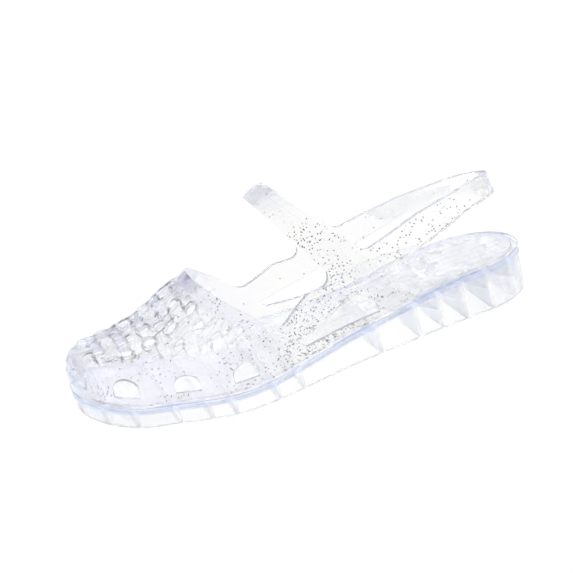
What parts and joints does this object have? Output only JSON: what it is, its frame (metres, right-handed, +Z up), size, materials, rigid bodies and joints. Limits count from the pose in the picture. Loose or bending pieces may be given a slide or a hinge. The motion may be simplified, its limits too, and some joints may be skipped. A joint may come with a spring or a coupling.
{
  "type": "jelly sandal",
  "caption": "Left clear vinyl sandal with a woven closed toe cap, an instep strap, a heel strap loop and a hollow ribbed sole.",
  "frame": {"origin": "on the floor, under the middle of the outsole", "axes": "+X to the toe, +Y to the outer (lateral) side of this left shoe, +Z up"},
  "size_m": [0.25, 0.0856, 0.0974],
  "materials": {
    "clear_vinyl": "clear, glossy, with fine dark glitter in the wall",
    "footbed_vinyl": "clear with a pale blue tint, embossed"
  },
  "bodies": {
    "root": {"upper": "clear_vinyl", "outsole": "clear_vinyl", "footbed": "footbed_vinyl"}
  },
  "joints": []
}
